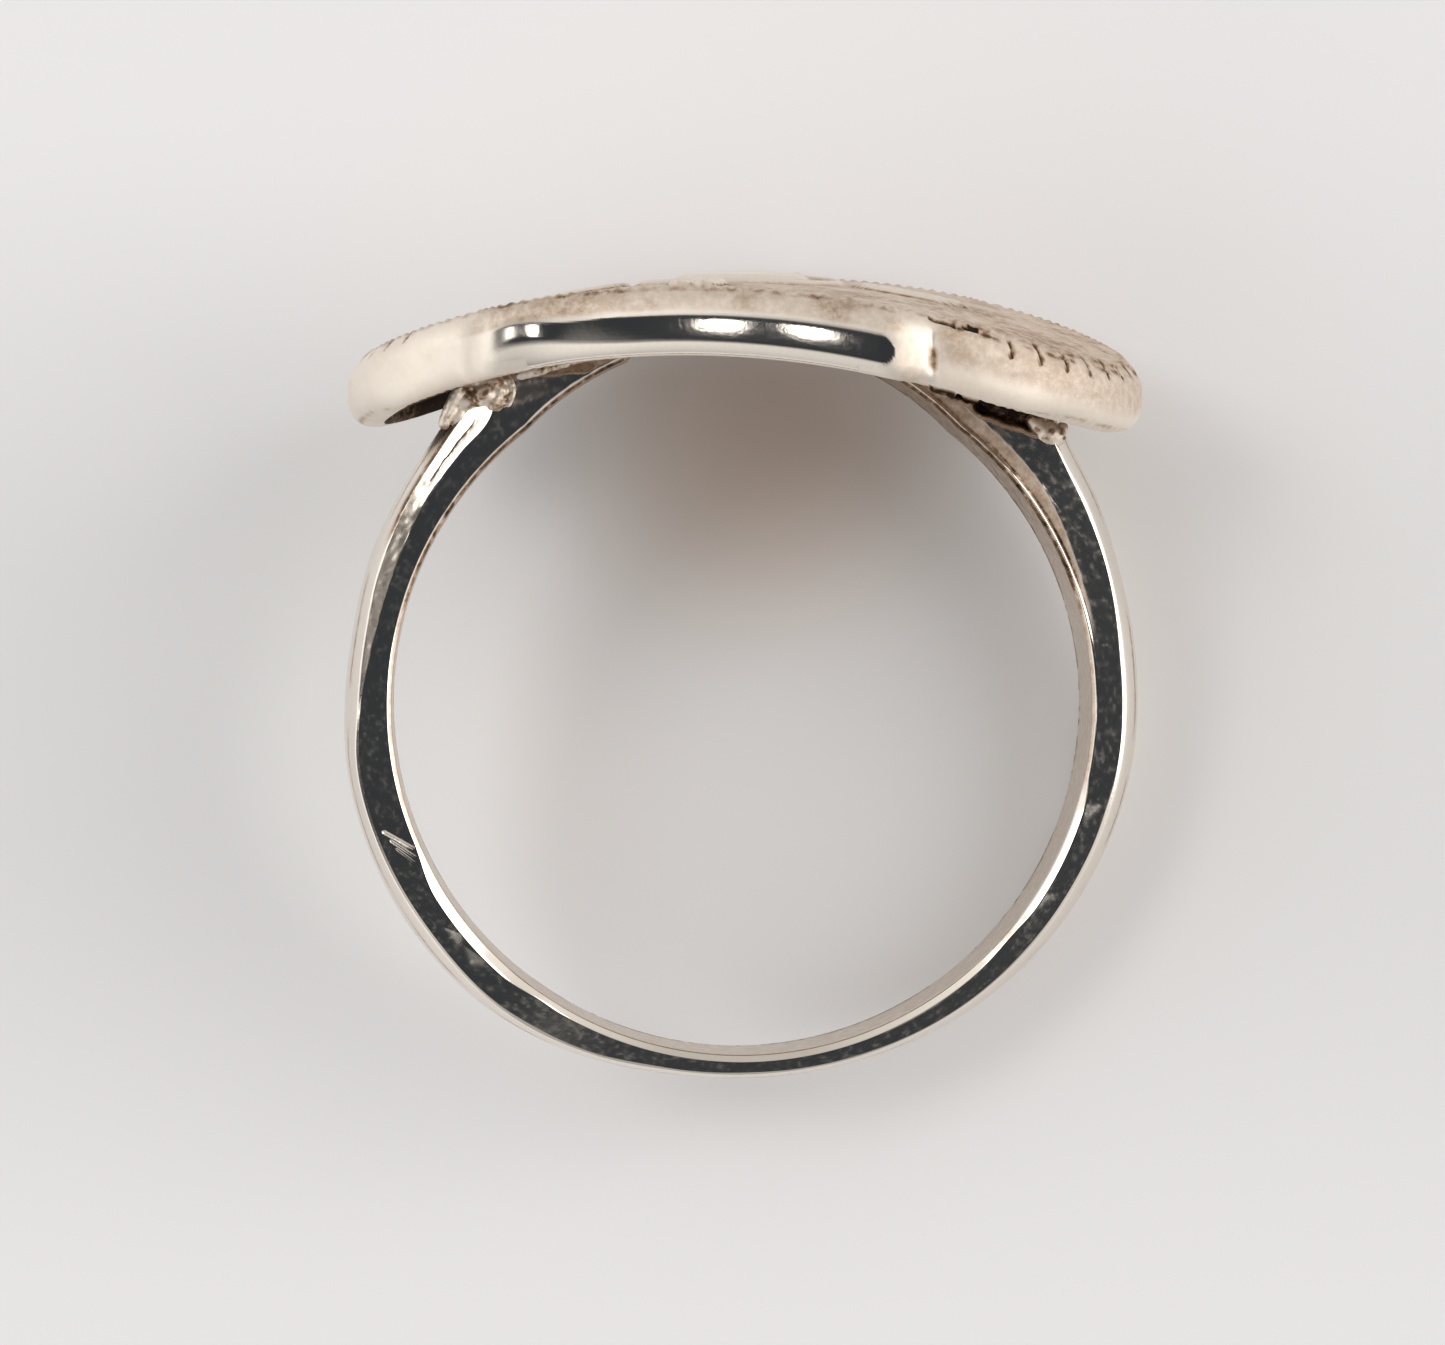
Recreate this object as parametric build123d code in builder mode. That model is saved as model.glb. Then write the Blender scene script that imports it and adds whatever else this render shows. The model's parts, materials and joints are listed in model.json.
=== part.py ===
from build123d import *
from collections import namedtuple
from math import cos, radians, sin
import os

# A finger ring: a D-section band flares into two shoulders, which are soldered under a
# domed and bent four-lobed plaque. Lengths are millimetres, angles degrees. While the
# ring is built, its finger hole runs along Z, the plaque is on the +Y side, and the
# origin is the middle of the hole. At the end the ring is laid on its side, +Z up.

# Finger hole
bore_radius = 8.65
bore_chamfer = 0.15
bore_allowance = 0.30      # metal left inside the hole until it is bored
bored_length = 4.2         # along the finger, between the plaque's rims
file_start = 138.0         # turn from the foot where the hole is filed wider, both sides
file_depth = 0.45          # of the filing, under the middle of the plaque

# Band
band_face = 0.85           # thickness of the flat sides, hole to edge
band_crown = 0.50          # how far the rounded outside stands beyond them
band_width = 3.0           # along the finger

# Shoulders between the band's ends and the plaque, their pockets, and the solder there
shoulder_width = 3.4
pocket_depth = 0.55
solder_radius = 0.48

# Plaque, measured flat
plaque_length = 20.1
plaque_width = 10.9
body_length = 11.73
body_bow = 60.0            # radius of the long sides
body_corner = 1.15
lobe_radius = 4.7
neck_round = 0.25          # inner corners where body and lobes meet
plaque_wall = 1.00
rim_depth = 1.65
rim_wall = 1.0
rim_top_round = 0.50
rim_foot_round = 0.28
tip_round = 1.15           # foot of the rim at the two ends
notch_radius = 0.20

# Plaque, bent and placed
bend_radius = 23.6         # along its length, round the finger
dome_radius = 200.0        # across
plaque_top = 10.56         # middle of the hole to the top of the plate
plaque_turn = 16.5         # about its own upright, right end nearer
plaque_lean = 0.7          # right end lower
plaque_roll = 4.0          # near side lower

# Relief on the plaque
boss_diameter = 3.8
boss_height = 0.18
collar_gap = 0.38
collar_width = 0.32
collar_height = 0.08
leaf_gap = 0.30
leaf_length = 2.8
leaf_width = 1.5
leaf_height = 0.08
stamp_radius = 0.36
stamp_depth = 0.14
stamp_line = 0.18
stamp_inset = 0.62         # rim to the middle of a stamp
stamps_per_lobe = 13
stamp_spread = 140.0       # of a lobe's rim

# How finely the surface is sampled, and the first and last steps of the search for the rest
surface_step = 0.02
surface_turn = 0.3         # radians
widest_try = 8.0
finest_try = 0.01

# Sections of the band, turned from its foot, positive towards the left shoulder. Face
# and crown are shares of band_face and band_crown, width is a share of band_width.
Section = namedtuple("Section", "turn face crown width")
band_sections = [
    Section(-143.0, 3.00, 0.80, 1.13),
    Section(-137.0, 2.15, 0.90, 1.15),
    Section(-129.0, 1.54, 0.96, 1.13),
    Section(-112.0, 1.14, 0.92, 1.08),
    Section(-90.0, 0.92, 1.04, 1.00),
    Section(-68.0, 0.78, 1.02, 0.97),
    Section(-44.0, 0.72, 0.76, 0.92),
    Section(-20.0, 0.56, 0.54, 0.86),
    Section(0.0, 0.52, 0.50, 0.83),
    Section(20.0, 0.70, 0.50, 0.86),
    Section(42.0, 1.00, 0.68, 0.92),
    Section(66.0, 0.98, 0.92, 0.97),
    Section(90.0, 0.90, 0.90, 1.00),
    Section(112.0, 0.84, 1.20, 1.06),
    Section(128.0, 0.92, 1.40, 1.10),
    Section(138.0, 1.28, 1.20, 1.13),
    Section(147.0, 2.40, 0.90, 1.13),
]

# Corners of a shoulder's side. The turn goes on from the band's end towards the middle of
# the plaque, and the height over the finger hole is a share of the way to the plaque's top.
Corner = namedtuple("Corner", "turn height")
shoulder_corners = [
    Corner(-5.0, 0.00),
    Corner(4.0, 0.00),
    Corner(11.0, 0.00),
    Corner(17.0, 0.35),
    Corner(16.0, 0.82),
    Corner(6.0, 0.95),
    Corner(-2.0, 1.15),
]

# Corners of the two pockets, turned from the foot, with their heights as the same shares.
left_pocket = [
    Corner(139.0, 0.82),
    Corner(143.0, 0.27),
    Corner(157.0, 0.21),
    Corner(159.0, 1.00),
    Corner(139.0, 1.30),
]
right_pocket = [
    Corner(-133.0, 0.76),
    Corner(-138.0, 0.38),
    Corner(-145.0, 0.26),
    Corner(-147.0, 1.00),
    Corner(-133.0, 1.30),
]

# Middles of the two solder lumps, at shares of the band's face.
Lump = namedtuple("Lump", "turn face")
solder_lumps = [Lump(141.5, 1.54), Lump(-131.8, 1.69)]


def turned_plane(turn):
    """The upright plane through the hole's axis, at an angle from the foot: x out, y along the finger."""
    angle = radians(-90 - turn)
    outward = Vector(cos(angle), sin(angle), 0)
    return Plane(origin=(0, 0, 0), x_dir=outward, z_dir=outward.cross(Vector(0, 0, 1)))


def side_point(turn, height):
    """A point in the side view, at an angle from the foot and a share of the way to the plaque's top."""
    angle = radians(-90 - turn)
    radius = bore_radius + height * (plaque_top - bore_radius)
    return (radius * cos(angle), radius * sin(angle))


def make_band():
    """The D-section band with its flared ends, still solid inside the finger hole's edge."""
    inner = bore_radius - bore_allowance
    with BuildPart() as band:
        for section in band_sections:
            side = bore_radius + section.face * band_face
            crown = side + section.crown * band_crown
            half = section.width * band_width / 2
            inner_half = half - bore_chamfer - bore_allowance
            with BuildSketch(turned_plane(section.turn)):
                with BuildLine():
                    Polyline(
                        (side, half),
                        (bore_radius + bore_chamfer, half),
                        (inner, inner_half),
                        (inner, -inner_half),
                        (bore_radius + bore_chamfer, -half),
                        (side, -half),
                    )
                    ThreePointArc((side, -half), (crown, 0), (side, half))
                make_face()
        loft()
    return band.part


def make_shoulder(end_turn):
    """The wedge that carries the plaque on from one end of the band."""
    onward = 1 if end_turn > 0 else -1
    with BuildPart() as shoulder:
        with BuildSketch():
            Polygon(*[side_point(end_turn + onward * turn, height) for turn, height in shoulder_corners], align=None)
        extrude(amount=shoulder_width / 2, both=True)
    return shoulder.part


def make_pocket(corners):
    """The rough hollow under the plaque, cut in from both sides of a shoulder."""
    with BuildPart() as pocket:
        for level in (shoulder_width / 2 - pocket_depth, -shoulder_width / 2 - pocket_depth):
            with BuildSketch(Plane.XY.offset(level)):
                Polygon(*[side_point(turn, height) for turn, height in corners], align=None)
            extrude(amount=2 * pocket_depth)
    return pocket.part


def lobed_outline():
    """The plaque's flat outline: a body with bowed long sides between two round end lobes."""
    bow_centre = body_bow - plaque_width / 2
    with BuildSketch() as body:
        Rectangle(body_length, plaque_width)
        with Locations((0, bow_centre)):
            Circle(body_bow, mode=Mode.INTERSECT)
        with Locations((0, -bow_centre)):
            Circle(body_bow, mode=Mode.INTERSECT)
        fillet(body.vertices(), body_corner)
    with BuildSketch() as outline:
        add(body.sketch)
        with Locations((-lobe_centre, 0), (lobe_centre, 0)):
            Circle(lobe_radius)
        offset(amount=neck_round)
        offset(amount=-neck_round)
    return outline.sketch


def bent_slab(top, bottom):
    """A plate between two depths under the dome, bent along the plaque and domed across it."""
    half = plaque_width
    edge_drop = half * half / (2 * dome_radius)
    with BuildPart() as slab:
        with BuildSketch(Plane.YZ):
            with BuildLine():
                ThreePointArc((-half, -edge_drop - top), (0, -top), (half, -edge_drop - top))
                Line((half, -edge_drop - top), (half, -edge_drop - bottom))
                ThreePointArc((half, -edge_drop - bottom), (0, -bottom), (-half, -edge_drop - bottom))
                Line((-half, -edge_drop - bottom), (-half, -edge_drop - top))
            make_face()
        revolve(axis=Axis((0, 0, -bend_radius), (0, 1, 0)))
    return slab.part


def bent_relief(outline, top, bottom):
    """A flat outline cut out of the plate between two depths under the dome."""
    slab = bent_slab(top, bottom)
    with BuildPart() as relief:
        add(outline)
        extrude(amount=plaque_width / 2, both=True)
        add(slab, mode=Mode.INTERSECT)
    return relief.part


def tip_form():
    """A block that the plaque is cut to, with the foot of both tips rounded."""
    half = plaque_length / 2
    tip_foot = bend_radius - (bend_radius**2 - half**2) ** 0.5 + rim_depth
    with BuildPart() as form:
        with BuildSketch(Plane.XZ) as profile:
            with BuildLine():
                ThreePointArc((-half, -tip_foot), (0, -rim_depth), (half, -tip_foot))
                Polyline((half, -tip_foot), (half, rim_depth), (-half, rim_depth), (-half, -tip_foot))
            make_face()
            fillet(profile.vertices().group_by(Axis.Z)[0], tip_round)
        extrude(amount=plaque_width, both=True)
    return form.part


def settled_angles(shape):
    """The turns about X and then Y after which a shape lies with its weight lowest, from this side."""
    middle = shape.center(CenterOf.MASS)
    points = [tuple(point - middle) for point in shape.tessellate(surface_step, surface_turn)[0]]

    def weight_height(tilt, roll):
        side = -sin(radians(roll))
        across = cos(radians(roll)) * sin(radians(tilt))
        along = cos(radians(roll)) * cos(radians(tilt))
        return -min(x * side + y * across + z * along for x, y, z in points)

    best = (weight_height(0, 0), 0, 0)
    step = widest_try
    while step > finest_try:
        tilt, roll = best[1:]
        tries = [(tilt + i * step, roll + j * step) for i in (-1, 0, 1) for j in (-1, 0, 1)]
        found = min((weight_height(*angles), *angles) for angles in tries)
        if found[0] < best[0]:
            best = found
        else:
            step /= 2
    return best[1:]


lobe_centre = plaque_length / 2 - lobe_radius
necks = [(x, y) for x in (-body_length / 2, body_length / 2) for y in (-lobe_radius, lobe_radius)]
band = make_band()

flat_outline = lobed_outline()
with BuildSketch() as hollow_outline:
    add(flat_outline)
    offset(amount=-rim_wall)

plate = bent_relief(flat_outline, 0, rim_depth)
hollow = bent_relief(hollow_outline.sketch, plaque_wall, 2 * rim_depth)

collar_inside = boss_diameter / 2 + collar_gap
with BuildSketch() as collar_outline:
    Circle(collar_inside + collar_width)
    Circle(collar_inside, mode=Mode.SUBTRACT)

leaf_start = collar_inside + collar_width + leaf_gap
end_leaf = leaf_start + leaf_length / 2
side_leaf = leaf_start + leaf_width / 2
with BuildSketch() as leaf_outline:
    with Locations((-end_leaf, 0), (end_leaf, 0), (0, -side_leaf), (0, side_leaf)):
        Ellipse(leaf_length / 2, leaf_width / 2)

stamp_middles = lobe_radius - stamp_inset
with BuildSketch() as stamp_outline:
    for reach, mode in ((stamp_middles, Mode.ADD), (stamp_middles + stamp_line, Mode.SUBTRACT)):
        for lobe, first in ((lobe_centre, -stamp_spread / 2), (-lobe_centre, 180 - stamp_spread / 2)):
            with Locations((lobe, 0)):
                with PolarLocations(reach, stamps_per_lobe, first, stamp_spread, endpoint=True):
                    Circle(stamp_radius, mode=mode)

with BuildPart() as boss:
    boss_bow = (boss_diameter**2 / 4 + boss_height**2) / (2 * boss_height)
    with BuildSketch(Plane.XZ):
        with BuildLine():
            RadiusArc((0, boss_height), (boss_diameter / 2, 0), boss_bow)
            Polyline(
                (boss_diameter / 2, 0),
                (boss_diameter / 2, -plaque_wall / 2),
                (0, -plaque_wall / 2),
                (0, boss_height),
            )
        make_face()
    revolve(axis=Axis.Z)

with BuildPart() as plaque:
    add(plate)
    fillet(plaque.faces().filter_by(GeomType.REVOLUTION).sort_by(Axis.Z)[-1].edges(), rim_top_round)
    fillet(plaque.faces().filter_by(GeomType.REVOLUTION).sort_by(Axis.Z)[0].edges(), rim_foot_round)
    add(hollow, mode=Mode.SUBTRACT)
    add(tip_form(), mode=Mode.INTERSECT)
    with Locations(*necks):
        Cylinder(notch_radius, plaque_width, mode=Mode.SUBTRACT)
    add(bent_relief(stamp_outline.sketch, -stamp_depth, stamp_depth), mode=Mode.SUBTRACT)
    add(bent_relief(leaf_outline.sketch, -leaf_height, plaque_wall / 2))
    add(bent_relief(collar_outline.sketch, -collar_height, plaque_wall / 2))
    add(boss.part)

flat_plane = Plane(origin=(0, plaque_top, 0), x_dir=(1, 0, 0), z_dir=(0, 1, 0))
placed_plaque = (
    Location(flat_plane)
    * Rotation(0, plaque_lean, 0)
    * Rotation(0, 0, -plaque_turn)
    * Rotation(plaque_roll, 0, 0)
    * plaque.part
)

with BuildPart() as upright_ring:
    add(band)
    add(make_shoulder(band_sections[0].turn))
    add(make_shoulder(band_sections[-1].turn))
    add(make_pocket(left_pocket), mode=Mode.SUBTRACT)
    add(make_pocket(right_pocket), mode=Mode.SUBTRACT)
    solder_side = shoulder_width / 2 - solder_radius / 2
    for turn, face in solder_lumps:
        x, y = side_point(turn, face * band_face / (plaque_top - bore_radius))
        with Locations((x, y, -solder_side), (x, y, solder_side)):
            Sphere(solder_radius)
    add(placed_plaque)
    Cylinder(bore_radius, bored_length, mode=Mode.SUBTRACT)
    file_shift = file_depth / (1 + cos(radians(file_start)))
    with Locations((0, file_shift)):
        Cylinder(bore_radius + file_depth - file_shift, bored_length, mode=Mode.SUBTRACT)

# Laid down, with the origin under the middle of its box
tilt, roll = settled_angles(upright_ring.part)
laid_ring = Rotation(0, roll, 0) * Rotation(tilt, 0, 0) * upright_ring.part
box = laid_ring.bounding_box()
with BuildPart() as ring:
    add(Pos(-box.center().X, -box.center().Y, -box.min.Z) * laid_ring)

ring.part.label = "ring"
os.makedirs("parts", exist_ok=True)
export_step(ring.part, "parts/ring.step")
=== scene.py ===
import itertools
import json
import math

import bmesh
import bpy
import numpy as np
from mathutils import Matrix, Vector


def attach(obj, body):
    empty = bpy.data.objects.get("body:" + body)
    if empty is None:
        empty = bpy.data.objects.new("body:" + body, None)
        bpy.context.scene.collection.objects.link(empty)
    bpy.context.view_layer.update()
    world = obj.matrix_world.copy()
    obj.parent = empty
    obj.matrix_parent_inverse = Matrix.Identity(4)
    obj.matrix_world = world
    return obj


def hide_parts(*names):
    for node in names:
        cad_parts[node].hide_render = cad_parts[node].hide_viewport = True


# The looks of a worn silver ring that lies on a pale surface. The shapes are worked out in
# the ring's own frame, in millimetres: the finger hole runs along Z, the plaque is on the +Y
# side and the near side is +Z. place() turns them to how the ring lies, in metres.

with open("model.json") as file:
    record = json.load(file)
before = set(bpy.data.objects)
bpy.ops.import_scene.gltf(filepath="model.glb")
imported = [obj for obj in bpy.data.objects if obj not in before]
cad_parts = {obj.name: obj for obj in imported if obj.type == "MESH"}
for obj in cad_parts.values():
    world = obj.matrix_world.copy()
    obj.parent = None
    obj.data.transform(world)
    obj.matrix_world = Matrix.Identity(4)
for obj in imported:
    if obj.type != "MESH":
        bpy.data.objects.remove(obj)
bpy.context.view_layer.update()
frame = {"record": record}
bore = frame["record"]["mounts"][0]

# How the ring lies
REST_TILT = 8.578125       # degrees, about X
REST_ROLL = 15.046875      # degrees, about Y
BORE_MIDDLE = np.array(bore["pos_m"])
MM = 0.001

# The camera, in the ring's frame
CAMERA_PLACE = (-5.97, 4.43, 124.3)
CAMERA_AIM = (-0.44, 0.79, 0.0)
CAMERA_LENS = 124.4        # mm, on a sensor 36 mm wide

# Light and floor, as linear colours
ROOM_BELOW = (0.37, 0.365, 0.36)
ROOM_ABOVE = (0.58, 0.56, 0.53)
ROOM_LEFT = (1.12, 1.10, 1.06)
ROOM_RIGHT = (1.02, 0.99, 0.95)
DARK_ZONE = (0.034, 0.039, 0.045)
FLOOR_COLOUR = (0.845, 0.845, 0.87)  # away from the ring
FLOOR_PAINTED_SHADE = (0.76, 0.76, 0.775)   # painted shade: the floor is darker level with the finger hole
FLOOR_PAINTED_WARM_SHADE = (0.67, 0.585, 0.535)    # painted shade and painted warm reflected light on the floor under the head
WARM_SHADE_PLACE = (0.6, 6.4)    # x and y in the ring's frame, in millimetres
WARM_SHADE_REACH = 6.6           # how far the painted warm shade goes, and below how far it is full
WARM_SHADE_FULL = 0.5
WARM_SHADE_TOP = 10.4            # the painted warm shade ends at this height above the hole's middle, over WARM_SHADE_FADE
WARM_SHADE_FADE = 2.2
PAINTED_SHADE_FADE = (3.0, 17.0)   # how far above and below the hole the painted shade turns to FLOOR_COLOUR
FLOOR_SIZE = 0.6           # metres, from its middle to its edge
FLOOR_ROUGHNESS = 0.42
DARK_TURN = 13             # degrees that the dark zone of the room is left of straight near
DARK_LIFT = -0.07
DARK_WIDE = 32             # degrees, half the dark zone's width and height
DARK_HIGH = 16
DARK_EDGE = (0.78, 1.3)    # where the zone starts to fade and ends, as a share of that
SIDE_LIGHT = [
    # hand, colour, share of the way to that side where it starts
    (-1, ROOM_LEFT, 0.15),
    (1, ROOM_RIGHT, 0.25),
]
SIDE_FULL = 0.75
LAMP_COLOUR = (1.0, 0.97, 0.94)
LIGHTS = [
    # name, right, up, distance, size, power
    ("key", 1.0, 0.25, 0.6, 0.50, 1.75),
    ("window", -1.0, 0.50, 0.5, 0.20, 0.26),
    ("lamp_a", -0.546, -0.058, 0.45, 0.0215, 0.005),
    ("lamp_b", -0.428, -0.058, 0.45, 0.0225, 0.005),
]

# Silver
CLEAN_SILVER = [(0.93, 0.87, 0.79, 1), (0.87, 0.80, 0.72, 1)]
STAIN = [
    # stain and painted shade, colour
    (0.35, (0.42, 0.285, 0.185, 1)),
    (0.90, (0.050, 0.036, 0.028, 1)),
]
FULL_STAIN = 0.55          # stain and painted shade from which on no clean silver shows
GRIME = (0.3, 0.6, 0.5, 1.15)    # range of the grime noise, and what it multiplies tarnish by
POLISHED = (0.3, 0.7, 0.045, 0.07)    # range of the grain noise, and the roughness it gives
MATTE_ROUGHNESS = 0.66
STAIN_AND_SHADE_ROUGHNESS = 0.25
BUMP_DISTANCE = 0.012      # millimetres
WAVE_BUMP = 0.15
LINE_BUMP = (0.12, 0.015)  # on matte silver, and on all of it
GRAIN_BUMP = (0.35, 0.04)
LINE_STRETCH = (0.5, 9.0, 1.0)
TEXTURES = {
    # name: scale, detail, roughness
    "lines": (2.0, 4.0, 0.60),
    "grain": (9.0, 4.0, 0.65),
    "waves": (1.1, 2.0, 0.40),
    "grime": (4.0, 4.0, 0.70),
}

# Noise that shapes the meshes
LAYERS = {
    # name: size of its lumps in millimetres, seed
    "waves": (1.3, 3),
    "ripples": (0.16, 5),
    "chatter": (0.10, 8),
    "ragged": (0.22, 11),
    "specks": (0.10, 14),
    "lumps": (0.35, 21),
    "patches": (0.9, 25),
    "pits": (0.20, 31),
}

# Band, in millimetres
BORE_RADIUS = bore["dims"]["r_mm"]
CHAMFER = 0.10
CHAMFER_SLOPE = 0.62       # how much it falls for each millimetre of its width
CHAMFER_WEAR = 0.16        # how much wider it is where it is most worn
FILE_START = 138.0         # turn from the foot where the hole is filed wider
FILE_DEPTH = 0.45
BEVEL_SLOPE = 24.0         # degrees, of the filed bevel near the head
LOW_SLOPE = 12.5           # degrees, of the same bevel further down
SLOPE_CHANGE = (119.0, 126.0)    # turns between which one becomes the other
LEAST_FACE = 0.05
LEAST_BEVEL = 0.01
BAND_STEP = 0.45           # degrees between two sections of the band's mesh
FINE_STEP = 0.15           # and where the near face has cuts and patches
FINE_PARTS = [
    # from turn, to turn
    (51.0, 55.0), (62.0, 73.0),
]

# Sections of the band, turned from its foot, positive to the left. face is the thickness of
# the flat side, bevel is the filed strip outside it, crown is what the rounded outside adds.
BAND_COLUMNS = ("turn", "face", "bevel", "crown", "width")
BAND_ROWS = [
    (-158.0, 1.70, 0.00, 0.10, 3.4),
    (-150.0, 2.10, 0.00, 0.15, 3.4),
    (-143.0, 2.30, 0.00, 0.30, 3.4),
    (-137.0, 1.83, 0.00, 0.45, 3.4),
    (-129.0, 1.36, 0.00, 0.48, 3.4),
    (-120.0, 1.11, 0.06, 0.45, 3.3),
    (-110.0, 0.94, 0.05, 0.41, 3.2),
    (-100.0, 0.79, 0.07, 0.46, 3.1),
    (-80.0, 0.74, 0.08, 0.44, 3.0),
    (-60.0, 0.64, 0.06, 0.42, 2.9),
    (-40.0, 0.58, 0.03, 0.34, 2.7),
    (-20.0, 0.48, 0.03, 0.24, 2.6),
    (0.0, 0.44, 0.04, 0.21, 2.5),
    (12.0, 0.50, 0.04, 0.21, 2.5),
    (24.0, 0.69, 0.04, 0.22, 2.6),
    (38.0, 0.85, 0.05, 0.28, 2.8),
    (54.0, 0.83, 0.06, 0.37, 2.9),
    (70.0, 0.88, 0.07, 0.32, 3.0),
    (82.0, 0.88, 0.07, 0.30, 3.0),
    (90.0, 0.75, 0.06, 0.38, 3.1),
    (100.0, 0.59, 0.20, 0.36, 3.1),
    (112.0, 0.56, 0.36, 0.34, 3.2),
    (122.0, 0.64, 0.38, 0.30, 3.2),
    (132.0, 0.68, 0.48, 0.30, 3.3),
    (139.0, 0.80, 0.62, 0.30, 3.4),
    (145.0, 1.60, 0.30, 0.25, 3.4),
    (152.0, 1.90, 0.00, 0.15, 3.4),
    (162.0, 1.60, 0.00, 0.10, 3.4),
]

# How many rows of the mesh each zone of a section has
ZONE_ROWS = (30, 16, 28, 8, 2, 12, 5)
FACE, BEVEL, CROWN, FAR, FAR_EDGE, INNER, CHAMFER_ZONE = range(7)

# Wear of the band. Four turns say where a mark starts, is full from, is full to and ends.
WORN_PARTS = [
    # four turns, how worn the edge of the hole is
    (33.0, 42.0, 58.0, 68.0, 1.0),
    (-79.0, -73.0, -56.0, -48.0, 0.55),
    (-52.0, -40.0, 30.0, 40.0, 0.40),
]
FACE_WAVES = 0.004         # height of the waves and of the ripples on the near face
FACE_RIPPLES = 0.0008
SPLIT_TURNS = (124.0, 127.0, 136.0, 139.0)
SPLIT_PLACE = 0.38         # share of the bevel's width where the dark line runs
SPLIT_WIDTH = 0.035
SPLIT_DEPTH = 0.03
CHATTER_TURNS = (88.0, 98.0, 125.0, 130.0)
CHATTER_HEIGHT = 0.006     # doubled from CHATTER_RISE on
CHATTER_RISE = (112.0, 119.0)
CHATTER_STRETCH = (0.16, 0.8)    # of the chatter's noise, along the bevel and across it
RIGHT_TURNS = (-96.0, -118.0)    # between which the strip and the slit on the right come up
STRIP_WIDTH = 0.26         # distance from the hole where the filed strip ends
STRIP_GROWTH = 0.24        # how much further that is near the head
STRIP_TURNS = (-108.0, -130.0)
STRIP_START = 0.19
STRIP_SLOPE = 0.20
STRIP_RIPPLES = 0.016
SLIT_PLACE = 0.165
SLIT_WIDTH = 0.034
SLIT_DEPTH = 0.08
TORN_TURNS = (100.0, 116.0)
TORN_HEIGHT = 0.018
INNER_TURNS = (100.0, 135.0)     # between which the hole's wall gets more tarnished
STREAK_PLACE = 0.20        # share of the way over the crown where a dark streak runs
STREAK_WIDTH = 0.018
BAND_MARKS = {
    # name: tarnish, roughness (the marks commented as painted darken the silver with painted shade and
    # painted reflection)
    "dug": (1.0, 0.0),
    "split": (0.65, 0.0),
    "chatter": (0.16, 0.15),
    # painted reflection: the dark line along the crown's edge near the head
    "crown_edge": (0.70, 0.0),
    "strip": (0.34, 0.80),
    "slit": (0.90, 0.0),
    "right_spots": (0.12, 0.0),
    "torn": (0.24, 0.50),
    "torn_spots": (0.22, 0.0),
    "wall": (0.22, 0.35),
    "upper_wall": (0.25, 0.0),
    # painted shade and dark reflection: the thin dark line at the near end of the hole's wall
    "near_line": (0.50, 0.0),
    "far_line": (0.55, 0.0),
    "edge": (0.34, 0.50),
    "streak": (0.55, 0.0),
    "bevel": (0.0, 0.10),
    "crown": (0.0, 0.30),
}

# Plaque, in millimetres
PLAQUE_LENGTH = 20.1
PLAQUE_WIDTH = 10.9
BODY_LENGTH = 11.73
BODY_BOW = 60.0
BODY_CORNER = 1.15
LOBE_RADIUS = 4.7
NECK_ROUND = 0.25
PLAQUE_WALL = 1.0
RIM_DEPTH = 1.65
RIM_WALL = 1.0
BEND_RADIUS = 23.6
DOME_RADIUS = 200.0
PLAQUE_TOP = 10.56
PLAQUE_TURN = 16.5
PLAQUE_LEAN = 0.7
PLAQUE_ROLL = 4.0
LOBE_MIDDLE = PLAQUE_LENGTH / 2 - LOBE_RADIUS
WALL_DROP = 0.12           # how much lower the wall sits along most of the near side
WALL_MIDDLE = 0.86         # depth at which the rim's wall is widest
WALL_BULGE = 0.0032        # how far the wall falls back 0.3 mm above and below that

# Parts of the plaque's rim, by x in its own frame
NEAR_SIDE = (-3.5, -4.5)   # y where the near side starts, and where it is full
TIP = (7.2, 9.4)           # distance from the middle where the round ends start, and are full
LEFT_BULGE = (-4.95, 0.75 * math.sqrt(2))    # middle and width
BULGE_SIZE = 0.165
LEFT_CORNER = (-4.3, 0.7 * math.sqrt(2))     # middle and width
RIGHT_NECK = (5.86, 0.085)                   # middle and width
NECK_GROOVE = 0.10
LOW_WALL = (-3.6, -1.2, 4.9, 5.6)            # start, full from, full to, end
OUTLINE_POINTS = 800
RIM_ROWS = {"top": 17, "wall": 10, "foot": 12, "under": 4, "back": 5}
TOP_ROWS = 72
BACK_ROWS = 9

# The polished strip along the near wall, with round ends
POLISH_TOP = 0.52          # depth where it starts
POLISH_LEFT = (-5.45, 1.40)      # x of the end, and how long its rounding is
POLISH_RIGHT = (5.05, 0.90)
POLISH_FADE = (-5.25, -4.05)
POLISH_HALF = 0.50         # half its height where the round ends begin

# Relief
ROUND_REACH = 7.5          # the mesh's inner rows are circles, of this radius times their share
ROUND_FADE = (0.85, 0.36)  # shares between which the rows turn from the outline to circles
BOSS_RADIUS = 1.9
BOSS_HEIGHT = 0.18
COLLAR_GAP = 0.38
COLLAR_WIDTH = 0.32
COLLAR_HEIGHT = 0.11
LEAF_GAP = 0.30
LEAF_LENGTH = 2.8
LEAF_WIDTH = 1.5
LEAF_HEIGHT = 0.13
VEIN_DEPTH = 0.06
VEIN_PITCH = 0.42
STAMP_RADIUS = 0.19
STAMP_DEPTH = 0.10
STAMP_LINE = 0.15
STAMPS_PER_LOBE = 14
STAMP_PITCH = 9.4          # degrees from one stamp to the next
STAMP_LEVEL = -0.03        # how far below the top the stamps' middles are at the tips
STAMP_FALL = 0.0046        # how much further down they are for each degree from the right tip
BEAD_PITCH = 0.30
BEAD_HEIGHT = 0.060
BEAD_INSET = 0.42

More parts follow.
